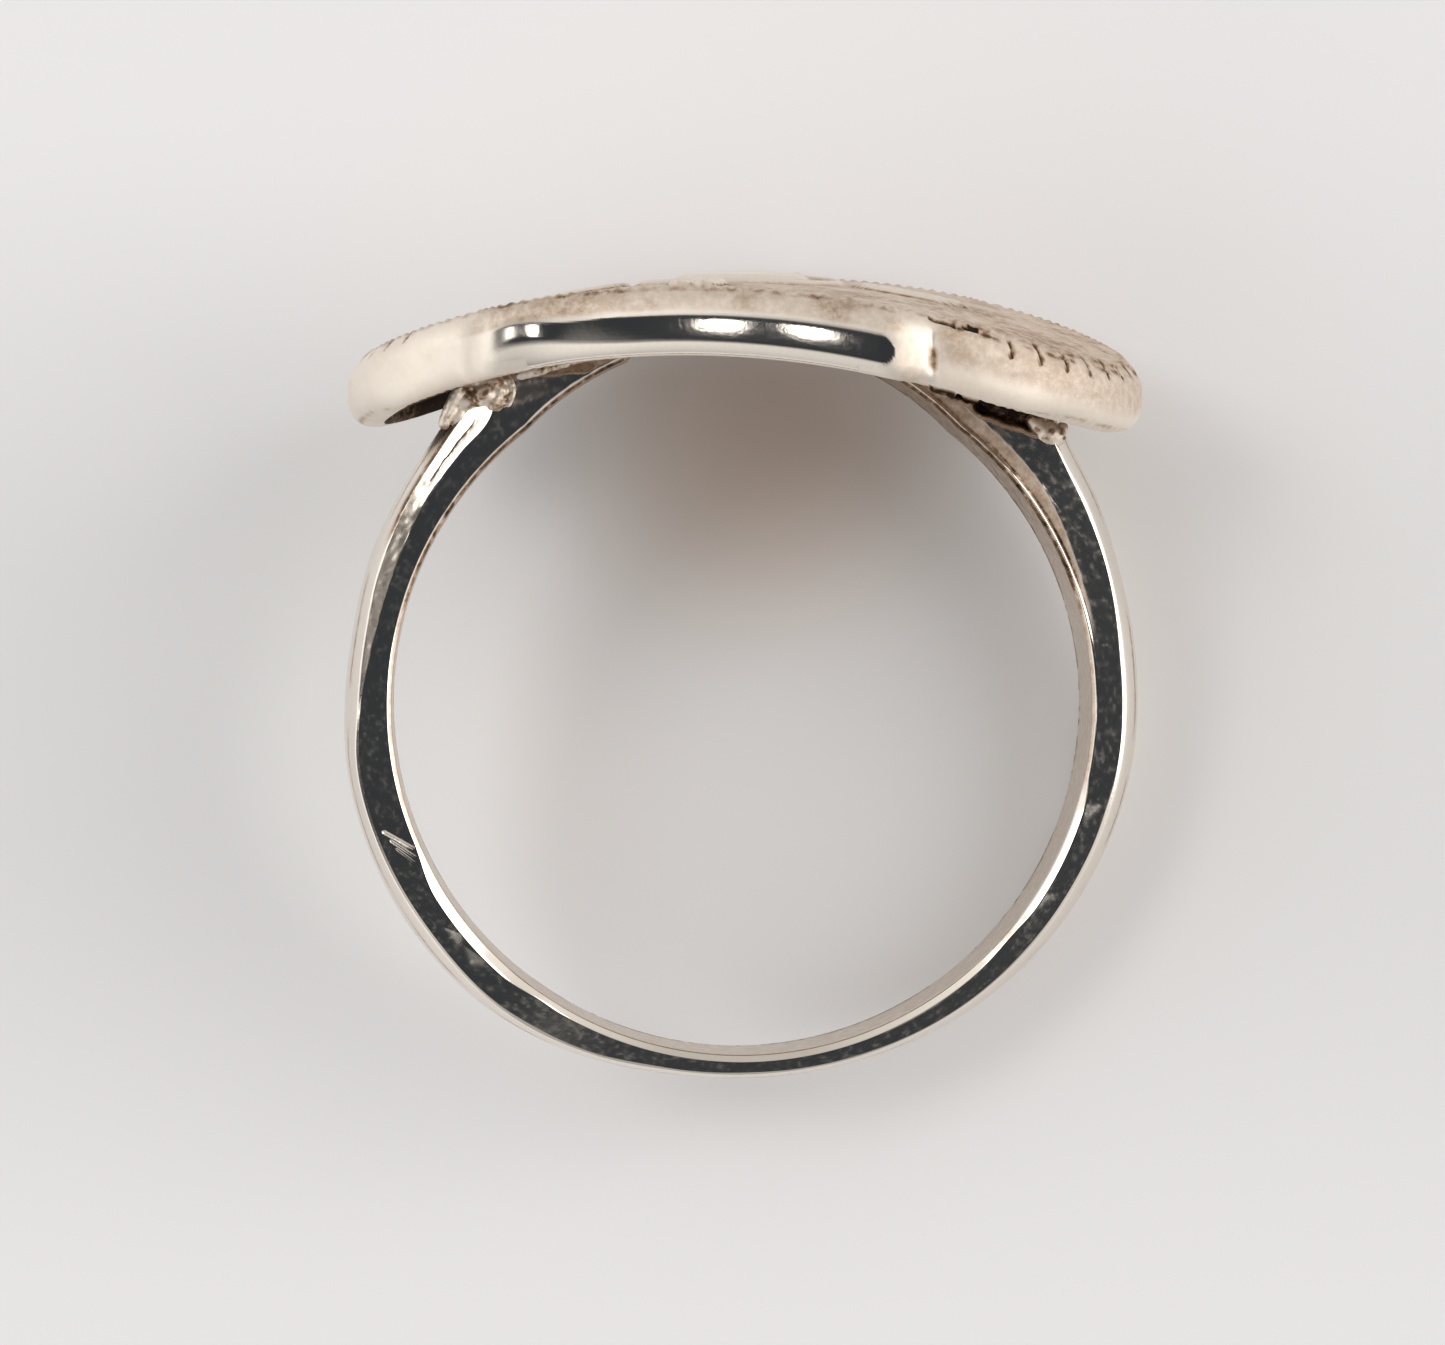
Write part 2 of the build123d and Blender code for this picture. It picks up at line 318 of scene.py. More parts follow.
PLAQUE_TARNISH_AND_SHADE = {
    "stamps": 0.62,
    "right_line": 0.50,
    "bead_line": 0.28,
    "crevice": 0.90,
    "slot": 0.50,
    "back": 0.42,
    # partly tarnish, partly painted shade of the hollow under the left lobe
    "back_left": 1.10,
    "ground": 0.24,
    "ground_patches": 0.14,
    "foot_line": 0.22,
    "top": 0.06,
    "dull_patches": 0.05,
    "rim_top": 0.20,
    "rim_top_patches": 0.14,
    # partly tarnish, partly painted shade on the right lobe's upper part, where the key light falls
    "right_lobe": 0.22,
    "neck": 0.20,
}

# Crevices on the plaque's top beside the right neck, in the plaque's own frame
CREVICES = [
    # start, end, half width, depth
    ((5.78, -4.42), (6.28, -4.34), 0.075, 0.13),
    ((6.52, -4.26), (6.80, -4.17), 0.060, 0.10),
]

# Cuts of the maker's tools on the near side, in the ring's frame
FACE_CUTS = [
    # start, end, half width, depth
    ((-8.84, -3.08), (-8.12, -3.48), 0.040, 0.034),
    ((-8.66, -3.30), (-8.06, -3.70), 0.032, 0.022),
    ((-8.52, -3.50), (-8.08, -3.84), 0.030, 0.016),
    ((7.60, 5.16), (7.86, 4.84), 0.045, 0.014),
    ((7.42, 5.46), (7.60, 5.20), 0.040, 0.012),
]

# Rough triangles on the near side, sharp along their first edge and soft along the others
FACE_PATCHES = [
    # corner, corner, corner, roughness
    ((8.22, -2.42), (9.05, -2.46), (8.45, -3.02), 0.24),
    ((6.75, -4.66), (7.95, -4.66), (6.75, -5.48), 0.30),
    ((-7.46, -5.40), (-6.80, -5.64), (-6.98, -6.10), 0.32),
    ((-7.00, -5.80), (-6.20, -6.34), (-6.72, -6.52), 0.24),
    ((-8.84, -3.06), (-8.14, -3.46), (-8.30, -3.66), 0.36),
]

# Pockets, holes and tarnished strips in the near corners between shoulders and plaque
HOLLOWS = [
    # start, end, half width, depth, tarnish
    ((-6.62, 8.06), (-6.56, 7.92), 0.15, 0.45, 1.0),
    ((-5.50, 7.68), (-5.00, 7.84), 0.28, 0.02, 0.15),
    ((-6.10, 8.32), (-3.90, 8.46), 0.24, 0.05, 0.30),
    ((-5.84, 8.02), (-5.82, 7.56), 0.09, 0.30, 1.0),
    ((5.80, 7.36), (5.98, 7.28), 0.17, 0.60, 1.0),
    ((6.15, 7.32), (7.35, 6.96), 0.30, 0.45, 0.95),
    ((5.20, 7.72), (6.20, 7.50), 0.16, 0.40, 0.95),
]

# Solder
SEAM_BEADS = 12            # on each of the four seams between the shoulders and the plaque
SEAM_START = 6.6           # x where each seam starts, and how far it runs inwards
SEAM_LENGTH = 2.6
SEAM_Z = 1.66
SEAM_LEAN = 0.012
SEAM_RADIUS = 0.18         # of the smallest beads, and how much larger the largest are
SEAM_SPREAD = 0.08
VOXEL = 0.036
SMOOTHING = 9              # rounds
PIT_DEPTH = 0.016

# Beads of solder: the lumps in the near and far corners and the wall of the left pocket
SOLDER_BEADS = [
    # x, y, z, radius
    (-6.42, 8.02, 1.50, 0.30), (-6.12, 7.95, 1.55, 0.32), (-5.98, 7.74, 1.58, 0.26),
    (-6.32, 7.68, 1.58, 0.32), (-6.08, 7.46, 1.60, 0.26), (-6.52, 7.56, 1.45, 0.24),
    (-5.76, 8.10, 1.64, 0.08), (-5.70, 8.00, 1.68, 0.08), (-5.66, 7.90, 1.70, 0.08),
    (-5.64, 7.80, 1.70, 0.08), (-5.65, 7.70, 1.70, 0.08), (-5.67, 7.60, 1.70, 0.08),
    (-5.71, 7.50, 1.68, 0.08), (-5.77, 7.42, 1.66, 0.10),
    (-7.34, 6.95, 1.36, 0.16), (-7.31, 7.08, 1.38, 0.16), (-7.26, 7.22, 1.40, 0.16),
    (-7.20, 7.36, 1.42, 0.16), (-7.13, 7.50, 1.44, 0.16), (-7.06, 7.64, 1.46, 0.16),
    (-6.99, 7.78, 1.48, 0.16), (-6.93, 7.92, 1.50, 0.17), (-6.87, 8.06, 1.50, 0.18),
    (-6.82, 8.20, 1.50, 0.20), (-6.78, 8.34, 1.50, 0.22),
    (-6.80, 7.55, 1.22, 0.36), (-6.76, 8.10, 1.30, 0.38), (-6.98, 7.15, 1.18, 0.30),
    (-5.45, 8.16, 1.62, 0.18), (-5.28, 8.20, 1.62, 0.18), (-5.10, 8.24, 1.62, 0.18),
    (-4.92, 8.28, 1.62, 0.17), (-4.74, 8.33, 1.62, 0.16), (-4.56, 8.38, 1.62, 0.15),
    (-4.38, 8.43, 1.62, 0.14), (-4.20, 8.48, 1.62, 0.13), (-4.02, 8.52, 1.62, 0.12),
    (7.30, 6.90, 1.50, 0.26), (7.52, 6.74, 1.56, 0.32), (7.74, 6.66, 1.48, 0.26),
    (7.62, 6.46, 1.50, 0.22), (7.16, 7.02, 1.48, 0.20), (7.90, 6.86, 1.40, 0.16),
    (-5.80, 8.03, 1.62, 0.12), (-6.15, 7.76, -1.46, 0.46), (7.50, 6.72, -1.46, 0.44),
]


def turned(axis, degrees):
    """The matrix that turns columns of x, y, z about an axis."""
    c, s = math.cos(math.radians(degrees)), math.sin(math.radians(degrees))
    first, second = [(1, 2), (2, 0), (0, 1)]["XYZ".index(axis)]
    matrix = np.eye(3)
    matrix[first, first] = matrix[second, second] = c
    matrix[first, second], matrix[second, first] = -s, s
    return matrix


REST = turned("Y", REST_ROLL) @ turned("X", REST_TILT)


def place(points):
    """Points of the ring's frame, in millimetres, to where the ring lies, in metres."""
    return np.asarray(points) @ REST.T * MM + BORE_MIDDLE


def smooth_step(low, high, values):
    share = np.clip((values - low) / (high - low), 0.0, 1.0)
    return share * share * (3.0 - 2.0 * share)


def between(values, start, full_from, full_to, end):
    """0 outside start and end, 1 from full_from to full_to, smooth in between."""
    return smooth_step(start, full_from, values) * smooth_step(end, full_to, values)


def hump(values, middle, width):
    return np.exp(-((values - middle) / width) ** 2)


def noise(points, size, seed):
    """Smooth noise from -1 to 1 at points, with lumps about as large as size."""
    cells = np.asarray(points) / size
    base = np.floor(cells).astype(np.int64)
    share = cells - base
    share = share * share * (3.0 - 2.0 * share)
    total = np.zeros(len(cells))
    for corner in itertools.product((0, 1), repeat=3):
        mixed = (base + corner) @ np.array((73856093, 19349663, 83492791)) + seed * 7919
        mixed = (mixed ^ (mixed >> 13)) * 1274126177
        value = ((mixed ^ (mixed >> 16)) & 0xFFFF) / 32767.5 - 1.0
        total += value * np.prod(np.where(corner, share, 1.0 - share), axis=1)
    return total


def rough(points, size, seed):
    """Noise with two finer layers on it."""
    return sum(noise(points, size / 2 ** k, seed + k) / 2 ** k for k in range(3)) / 1.75


def make_piece(name, mesh, points, marks):
    """Moves the mesh to where the ring lies, gives its points the marks, and adds it."""
    mesh.vertices.foreach_set("co", place(points).ravel())
    mesh.update()
    for title, values in marks.items():
        kind, field = ("FLOAT_VECTOR", "vector") if values.ndim == 2 else ("FLOAT", "value")
        layer = mesh.attributes.new(title, kind, "POINT")
        layer.data.foreach_set(field, values.ravel().astype(np.float32))
    mesh.polygons.foreach_set("use_smooth", np.ones(len(mesh.polygons), bool))
    piece = bpy.data.objects.new(name, mesh)
    bpy.context.scene.collection.objects.link(piece)
    return piece


def with_ends(rings):
    """All points of the rings, then the middle of the first ring and of the last."""
    ends = np.array([rings[0].mean(axis=0), rings[-1].mean(axis=0)])
    return np.concatenate([rings.reshape((-1,) + rings.shape[2:]), ends])


def grid_mesh(name, rings, marks):
    """A closed mesh through rings of points, each ring closed on itself, ends fanned shut."""
    count, size = rings.shape[:2]
    first, last = count * size, count * size + 1
    faces = []
    for j in range(size):
        k = (j + 1) % size
        faces += [(i * size + j, i * size + k, (i + 1) * size + k, (i + 1) * size + j)
                  for i in range(count - 1)]
        faces.append((first, k, j))
        faces.append((last, (count - 1) * size + j, (count - 1) * size + k))
    points = with_ends(rings)
    mesh = bpy.data.meshes.new(name)
    mesh.from_pydata(points.tolist(), [], faces)
    marks = {title: with_ends(values) for title, values in marks.items()}
    return make_piece(name, mesh, points, marks)


def segment_distance(x, y, start, end):
    """How far points are from a straight segment, and how far along it, from 0 to 1."""
    start, end = np.array(start), np.array(end)
    along = end - start
    share = ((x - start[0]) * along[0] + (y - start[1]) * along[1]) / (along @ along)
    share = np.clip(share, 0.0, 1.0)
    near_x = start[0] + share * along[0]
    near_y = start[1] + share * along[1]
    return np.hypot(x - near_x, y - near_y), share


# The band

def band_size(turns, column):
    rows = np.array(BAND_ROWS)
    xs, ys = rows[:, 0], rows[:, BAND_COLUMNS.index(column)]
    slopes = np.gradient(ys, xs)
    index = np.clip(np.searchsorted(xs, turns) - 1, 0, len(xs) - 2)
    step = xs[index + 1] - xs[index]
    t = (turns - xs[index]) / step
    low, high = ys[index], ys[index + 1]
    return ((2 * t ** 3 - 3 * t ** 2 + 1) * low + (t ** 3 - 2 * t ** 2 + t) * step * slopes[index]
            + (3 * t ** 2 - 2 * t ** 3) * high + (t ** 3 - t ** 2) * step * slopes[index + 1])


def inner_radius(turns):
    """The finger hole, with the wider arch that is filed under the plaque."""
    shift = FILE_DEPTH / (1.0 + math.cos(math.radians(FILE_START)))
    file_radius = BORE_RADIUS + FILE_DEPTH - shift
    to_middle = -shift * np.cos(np.radians(turns))
    arch = to_middle + np.sqrt(np.maximum(file_radius ** 2 - shift ** 2 + to_middle ** 2, 0.0))
    return np.maximum(BORE_RADIUS, arch)


def worn_share(turn):
    """Where the edge of the hole is worn bright and wide, from 0 to 1."""
    return sum(worn * between(turn, *turns) for *turns, worn in WORN_PARTS)


def band_profile(turn):
    """The closed section at one turn: radius, z, zone and the share of the way through it."""
    inner = inner_radius(np.array([turn]))[0]
    face, bevel, crown, width = [float(band_size(np.array([turn]), name)[0])
                                 for name in BAND_COLUMNS[1:]]
    bevel = max(bevel, LEAST_BEVEL)
    half = width / 2
    chamfer = CHAMFER + CHAMFER_WEAR * float(worn_share(turn))
    drop_in = CHAMFER_SLOPE * chamfer
    start = inner + chamfer
    outer = max(BORE_RADIUS + face, start + LEAST_FACE)
    steep = float(smooth_step(*SLOPE_CHANGE, abs(turn)))
    drop = bevel * math.tan(math.radians(LOW_SLOPE + steep * (BEVEL_SLOPE - LOW_SLOPE)))
    sag_radius = (half ** 2 + crown ** 2) / (2 * crown)
    edge_angle = math.asin(min(1.0, half / sag_radius))
    points = []

    def run(zone, where):
        for share in np.linspace(0.0, 1.0, ZONE_ROWS[zone] + 1)[:-1]:
            points.append((*where(share), zone, share))

    def crown_place(share):
        angle = edge_angle * (1 - 2 * share)
        lift = sag_radius * math.cos(angle) - (sag_radius - crown)
        return outer + bevel + lift, sag_radius * math.sin(angle) - drop * max(0.0, 1 - share * 4)

    run(FACE, lambda share: (start + share * (outer - start), half))
    run(BEVEL, lambda share: (outer + share * bevel, half - share * drop))
    run(CROWN, crown_place)
    run(FAR, lambda share: (outer + bevel + share * (start - outer - bevel), -half))
    run(FAR_EDGE, lambda share: (start - share * chamfer, -half + share * drop_in))
    run(INNER, lambda share: (inner, (half - drop_in) * (2 * share - 1)))
    run(CHAMFER_ZONE, lambda share: (inner + share * chamfer, half - (1 - share) * drop_in))
    return np.array(points)


def cut_depth(x, y):
    """How deep the tool cuts are in the near face."""
    depth = np.zeros_like(x)
    for start, end, half_width, deep in FACE_CUTS:
        gap, share = segment_distance(x, y, start, end)
        depth += deep * np.clip(1 - gap / half_width, 0, 1) * (1 - 0.6 * share)
    return depth


def patch_roughness(x, y):
    """How rough the near face is inside the triangles of FACE_PATCHES."""
    total = np.zeros_like(x)
    for *corners, strength in FACE_PATCHES:
        corners = np.array(corners)
        inside = np.full_like(x, 1.0)
        area = np.linalg.det(np.stack([corners[1] - corners[0], corners[2] - corners[0]]))
        for k in range(3):
            start, along = corners[k], corners[(k + 1) % 3] - corners[k]
            gap = (along[0] * (y - start[1]) - along[1] * (x - start[0])) / np.hypot(*along)
            inside = inside * smooth_step(-0.02, 0.03 if k == 0 else 0.16, gap * np.sign(area))
        total = np.maximum(total, strength * inside)
    return total


def hollow_depth(x, y, points):
    """How deep the near face is dug at the shoulders, and how tarnished it is there."""
    depth, tarnish = np.zeros_like(x), np.zeros_like(x)
    ragged = rough(points, *LAYERS["ragged"]).reshape(x.shape)
    for start, end, half_width, deep, dark in HOLLOWS:
        gap, _ = segment_distance(x, y, start, end)
        edge = gap - 0.35 * half_width * ragged
        share = smooth_step(half_width, 0.3 * half_width, edge)
        depth = np.maximum(depth, deep * share * (0.8 + 0.25 * ragged))
        dark = dark * smooth_step(1.2 * half_width, 0.7 * half_width, edge)
        tarnish = np.maximum(tarnish, dark)
    return depth, tarnish


def band_sections():
    """The turns of the band's sections, closer together in FINE_PARTS, and the sections."""
    turns = [np.arange(BAND_ROWS[0][0], BAND_ROWS[-1][0] + BAND_STEP / 2, BAND_STEP)]
    turns = np.unique(np.concatenate(turns + [np.arange(*part, FINE_STEP) for part in FINE_PARTS]))
    return turns, np.array([band_profile(turn) for turn in turns])


def make_band():
    turns, sections = band_sections()
    radius, z, zone, share = (sections[..., k] for k in range(4))
    turn = np.repeat(turns[:, None], radius.shape[1], axis=1)
    angle = np.radians(turn)
    x = -radius * np.sin(angle)
    y = -radius * np.cos(angle)
    points = np.stack([x, y, z], axis=-1)
    flat = points.reshape(-1, 3)
    waves = noise(flat, *LAYERS["waves"]).reshape(x.shape)
    ripples = rough(flat, *LAYERS["ripples"]).reshape(x.shape)
    on_face = (zone == FACE) * smooth_step(0.0, 0.06, share)
    bevel, crown, wall = [(zone == part) * 1.0 for part in (BEVEL, CROWN, INNER)]
    near = on_face + bevel + (zone == CHAMFER_ZONE)
    shift = (FACE_WAVES * waves + FACE_RIPPLES * ripples - cut_depth(x, y)) * on_face

    # Dug and tarnished corners
    depth, dug = hollow_depth(x, y, flat)
    shift -= depth * near

    # Left: a ragged dark line runs along the bevel, which is chattered further down
    split = hump(share, SPLIT_PLACE + 0.08 * ripples, SPLIT_WIDTH) * bevel
    split *= between(turn, *SPLIT_TURNS)
    chatter = bevel * between(turn, *CHATTER_TURNS)
    along, across = CHATTER_STRETCH
    cross_lines = np.stack([turn * along, radius * across, np.zeros_like(z)], axis=-1)
    cross_lines = noise(cross_lines.reshape(-1, 3), *LAYERS["chatter"]).reshape(x.shape)
    shift -= SPLIT_DEPTH * split
    shift += CHATTER_HEIGHT * (1 + smooth_step(*CHATTER_RISE, turn)) * chatter * cross_lines
    # Painted reflection: a dark line along the crown's edge beside the bevel near the head, where the
    # crown would mirror dark surroundings
    crown_edge = crown * smooth_step(0.10, 0.03, share) * smooth_step(112.0, 120.0, turn)

    # Right: a dark slit beside the hole, and a rough filed strip between it and the flat
    from_hole = radius - inner_radius(turns)[:, None]
    right = smooth_step(*RIGHT_TURNS, turn) * near
    strip_end = STRIP_WIDTH + STRIP_GROWTH * smooth_step(*STRIP_TURNS, turn)
    strip = right * smooth_step(strip_end + 0.04, strip_end - 0.02, from_hole)
    strip *= from_hole > STRIP_START
    slit = right * hump(from_hole, SLIT_PLACE, SLIT_WIDTH)
    shift += strip * (STRIP_RIPPLES * ripples - STRIP_SLOPE * (strip_end - from_hole))
    shift -= SLIT_DEPTH * slit

    # The edge of the hole under both shoulders is a little torn
    torn = (zone == CHAMFER_ZONE) * smooth_step(*TORN_TURNS, np.abs(turn))
    shift += TORN_HEIGHT * torn * ripples
    points[..., 2] += shift

    # The unworn edge of the hole, its broken far line, and a broken streak on the crown
    edge = (zone == CHAMFER_ZONE) * (1 - np.clip(2.5 * worn_share(turn), 0, 1))
    edge *= smooth_step(0.85, 0.55, share)
    far_line = smooth_step(0.10, 0.05, share) * smooth_step(-0.1, 0.1, waves + ripples)
    streak = hump(share, STREAK_PLACE + 0.02 * waves, STREAK_WIDTH)
    streak *= smooth_step(-0.2, 0.2, waves) * crown

    marks = {
        "dug": dug * near, "split": split, "chatter": chatter, "crown_edge": crown_edge,
        "strip": strip, "slit": slit,
        "right_spots": right * (1 - strip) * smooth_step(0.1, 0.4, ripples),
        "torn": torn, "torn_spots": torn * smooth_step(-0.2, 0.5, ripples),
        "wall": wall, "upper_wall": wall * smooth_step(*INNER_TURNS, np.abs(turn)),
        # The thin dark line at the near end of the hole's wall is painted shade and dark reflection
        "near_line": wall * smooth_step(0.93, 0.97, share), "far_line": wall * far_line,
        "edge": edge, "streak": streak, "bevel": bevel, "crown": crown,
    }
    # The tarnish sum also holds the painted reflection on the crown and the painted shade at the
    # wall's near edge
    tarnish, matte = [sum(BAND_MARKS[name][k] * mark for name, mark in marks.items())
                      for k in (0, 1)]
    specks = smooth_step(-0.1, 0.6, rough(flat, *LAYERS["specks"]).reshape(x.shape))
    matte += (0.07 + 0.17 * specks + patch_roughness(x, y) + 0.5 * tarnish) * on_face
    steps = np.diff(sections[..., :2], axis=1, prepend=sections[:, -1:, :2])
    across = np.cumsum(np.linalg.norm(steps, axis=-1), axis=1)
    flow = np.stack([angle * radius, across, np.zeros_like(across)], axis=-1)
    return grid_mesh("band", points, {"tarnish": np.clip(tarnish, 0, 1),
                                      "matte": np.clip(matte, 0, 1), "flow": flow})


# The plaque

def outline_gap(x, y):
    """How far outside the plaque's outline a point is, less than zero inside."""
    half_width = PLAQUE_WIDTH / 2 - x ** 2 / (2 * BODY_BOW)
    dx = np.abs(x) - (BODY_LENGTH / 2 - BODY_CORNER)
    dy = np.abs(y) - (half_width - BODY_CORNER)
    body = (np.hypot(np.maximum(dx, 0), np.maximum(dy, 0))
            + np.minimum(np.maximum(dx, dy), 0) - BODY_CORNER)
    lobes = np.hypot(np.abs(x) - LOBE_MIDDLE, y) - LOBE_RADIUS
    blend = np.clip(0.5 + 0.5 * (lobes - body) / NECK_ROUND, 0, 1)
    return lobes + (body - lobes) * blend - NECK_ROUND * blend * (1 - blend)


def plaque_outline(count):
    """Points evenly along the outline, and their inward normals."""
    angles = np.linspace(0, 2 * math.pi, 5001)
    low, high = np.full_like(angles, 3.0), np.full_like(angles, 12.0)
    for _ in range(40):
        middle = (low + high) / 2
        outside = outline_gap(middle * np.cos(angles), middle * np.sin(angles)) > 0
        high, low = np.where(outside, middle, high), np.where(outside, low, middle)
    points = np.stack([low * np.cos(angles), low * np.sin(angles)], axis=1)
    along = np.concatenate([[0], np.cumsum(np.linalg.norm(np.diff(points, axis=0), axis=1))])
    even = np.linspace(0, along[-1], count, endpoint=False)
    points = np.stack([np.interp(even, along, points[:, k]) for k in (0, 1)], axis=1)
    tangent = np.roll(points, -1, axis=0) - np.roll(points, 1, axis=0)
    tangent /= np.linalg.norm(tangent, axis=1)[:, None]
    return points, np.stack([-tangent[:, 1], tangent[:, 0]], axis=1), even


def bent_height(x, y, depth):
    drop = y ** 2 / (2 * DOME_RADIUS)
    return np.sqrt((BEND_RADIUS - depth - drop) ** 2 - x ** 2) - BEND_RADIUS


PLAQUE_MATRIX = (turned("Y", PLAQUE_LEAN) @ turned("Z", -PLAQUE_TURN) @ turned("X", PLAQUE_ROLL))


def from_plaque(points):
    """Plaque points, flat side up, to the ring's frame."""
    turned_points = np.asarray(points) @ PLAQUE_MATRIX.T
    x, y, z = turned_points[..., 0], turned_points[..., 1], turned_points[..., 2]
    return np.stack([x, PLAQUE_TOP + z, -y], axis=-1)


def relief_height(x, y):
    """Middle boss in a collar, and a leaf towards each lobe and side."""
    radius = np.hypot(x, y)
    height = BOSS_HEIGHT * smooth_step(BOSS_RADIUS + 0.02, BOSS_RADIUS - 0.45, radius)
    collar_middle = BOSS_RADIUS + COLLAR_GAP + COLLAR_WIDTH / 2
    from_collar = np.abs(radius - collar_middle) / (COLLAR_WIDTH / 2)
    height = height + COLLAR_HEIGHT * smooth_step(1.15, 0.1, from_collar)
    leaf_start = BOSS_RADIUS + COLLAR_GAP + COLLAR_WIDTH + LEAF_GAP
    for along, across in ((x, y), (-x, y), (y, x), (-y, x)):
        share = (along - leaf_start) / LEAF_LENGTH
        half = LEAF_WIDTH / 2 * np.sqrt(np.clip(4 * share * (1 - share), 0, 1))
        inside = np.clip(1 - np.abs(across) / np.maximum(half, 1e-6), 0, 1)
        veins = smooth_step(0.13, 0.05, np.abs(across)) + 0.6 * smooth_step(
            0.3, 0.9, np.cos(2 * math.pi * (along - 0.6 * np.abs(across)) / VEIN_PITCH))
        leaf = LEAF_HEIGHT * smooth_step(0.0, 0.35, inside)
        height = height + (leaf - VEIN_DEPTH * veins * smooth_step(0.25, 0.5, inside)) * (half > 0)
    return height


def stamp_mark(x, y, depth):
    """How deep the hooked stamps are along the end lobes' rims, from 0 to 1."""
    marks = np.zeros_like(x)
    for end in (-1, 1):
        around = np.degrees(np.arctan2(y, end * x - LOBE_MIDDLE))
        on_lobe = end * x > BODY_LENGTH / 2 - 0.2
        for k in range(STAMPS_PER_LOBE):
            spread = (k - (STAMPS_PER_LOBE - 1) / 2) * STAMP_PITCH
            side = np.radians(around - spread) * LOBE_RADIUS * end
            level = depth - STAMP_LEVEL - STAMP_FALL * abs(spread) * (end > 0)
            gap = np.abs(np.hypot(side + 0.12, level) - STAMP_RADIUS)
            groove = smooth_step(STAMP_LINE / 2, 0.01, gap) * smooth_step(-0.06, 0.02, side)
            marks = np.maximum(marks, groove * on_lobe)
    return marks


def rim_profile(tip, corner, low):
    """Inset, depth and zone down the rim. tip is from 0 on the long sides to 1 at the ends of
    the plaque, where the foot is rounded more, corner is 1 at the polished left corner, and low
    is 1 where the wall sits lower on the near side."""
    top_inset, top_depth = 0.50, 0.58 - 0.20 * corner - 0.10 * tip + WALL_DROP * low
    foot_inset = 0.34 + 0.56 * tip - 0.06 * low
    foot_depth = 0.51 + 0.49 * tip + 0.30 * corner - WALL_DROP * low
    level = np.ones_like(tip)
    rows = []
    for share in np.linspace(0, 1, RIM_ROWS["top"]):
        angle = share * math.pi / 2
        rows.append((top_inset * (1 - math.sin(angle)) * level,
                     top_depth * (1 - math.cos(angle)), 0.0))
    for share in np.linspace(0, 1, RIM_ROWS["wall"])[1:-1]:
        depth = top_depth + share * (RIM_DEPTH - foot_depth - top_depth)
        rows.append((np.zeros_like(tip), depth, 1.0))
    for share in np.linspace(0, 1, RIM_ROWS["foot"]):
        angle = share * math.pi / 2
        rows.append((foot_inset * (1 - math.cos(angle)),
                     RIM_DEPTH - foot_depth * (1 - math.sin(angle)), 2.0))
    rows = [(inset + WALL_BULGE * ((depth - WALL_MIDDLE - WALL_DROP * low) / 0.3) ** 2, depth, zone)
            for inset, depth, zone in rows]
    for share in np.linspace(0, 1, RIM_ROWS["under"])[1:]:
        rows.append((foot_inset + share * (RIM_WALL - 0.04 - foot_inset), RIM_DEPTH * level, 3.0))
    for share in np.linspace(0, 1, RIM_ROWS["back"])[1:]:
        depth = RIM_DEPTH - 0.06 - share * (RIM_DEPTH - PLAQUE_WALL - 0.06)
        rows.append((RIM_WALL * level, depth * level, 3.0))
    return rows


def plaque_rows():
    """The plaque's mesh rows from the middle of its top over the rim to the middle of its back,
    in its own frame: x and y, depth below the top, inset from the outline and zone, then how
    far along the outline each point is, and the marks of the neck, the corner and the low wall."""
    outline, inward, along = plaque_outline(OUTLINE_POINTS)
    near_side = smooth_step(*NEAR_SIDE, outline[:, 1])
    outline_x = outline[:, 0]
    corner = hump(outline_x, *LEFT_CORNER) * near_side
    tip = smooth_step(*TIP, np.abs(outline_x))
    neck = hump(outline_x, *RIGHT_NECK)
    outline = outline - inward * (BULGE_SIZE * hump(outline_x, *LEFT_BULGE) * near_side)[:, None]
    low = near_side * between(outline[:, 0], *LOW_WALL)
    edge = rim_profile(tip, corner, low)
    top_inset = edge[0][0]
    rows = []
    inset_line = outline + inward * top_inset[:, None]
    reach = np.linalg.norm(inset_line, axis=1)[:, None]
    for share in np.linspace(0.0, 1.0, TOP_ROWS)[1:-1]:
        to_edge = reach[:, 0] * (1 - share)
        spread = reach + (ROUND_REACH - reach) * smooth_step(*ROUND_FADE, share)
        line = inset_line / reach * spread * share
        rows.append((line, np.zeros_like(tip), top_inset + to_edge, 0.0))
    for inset, depth, zone in edge:
        groove = NECK_GROOVE * neck * between(depth, 0.25, 0.6, 1.15, 1.45)
        rows.append((outline + inward * (inset + groove)[:, None], depth, inset, zone))
    inner_line = outline + inward * RIM_WALL
    for share in np.linspace(1.0, 0.0, BACK_ROWS)[1:-1]:
        rows.append((inner_line * share, np.full_like(tip, PLAQUE_WALL),
                     np.full_like(tip, RIM_WALL), 4.0))
    lines, depths, insets, zones = (np.array(column) for column in zip(*rows))
    zones = np.repeat(zones[:, None], depths.shape[1], axis=1)
    return lines, depths, insets, zones, along, neck, corner, low


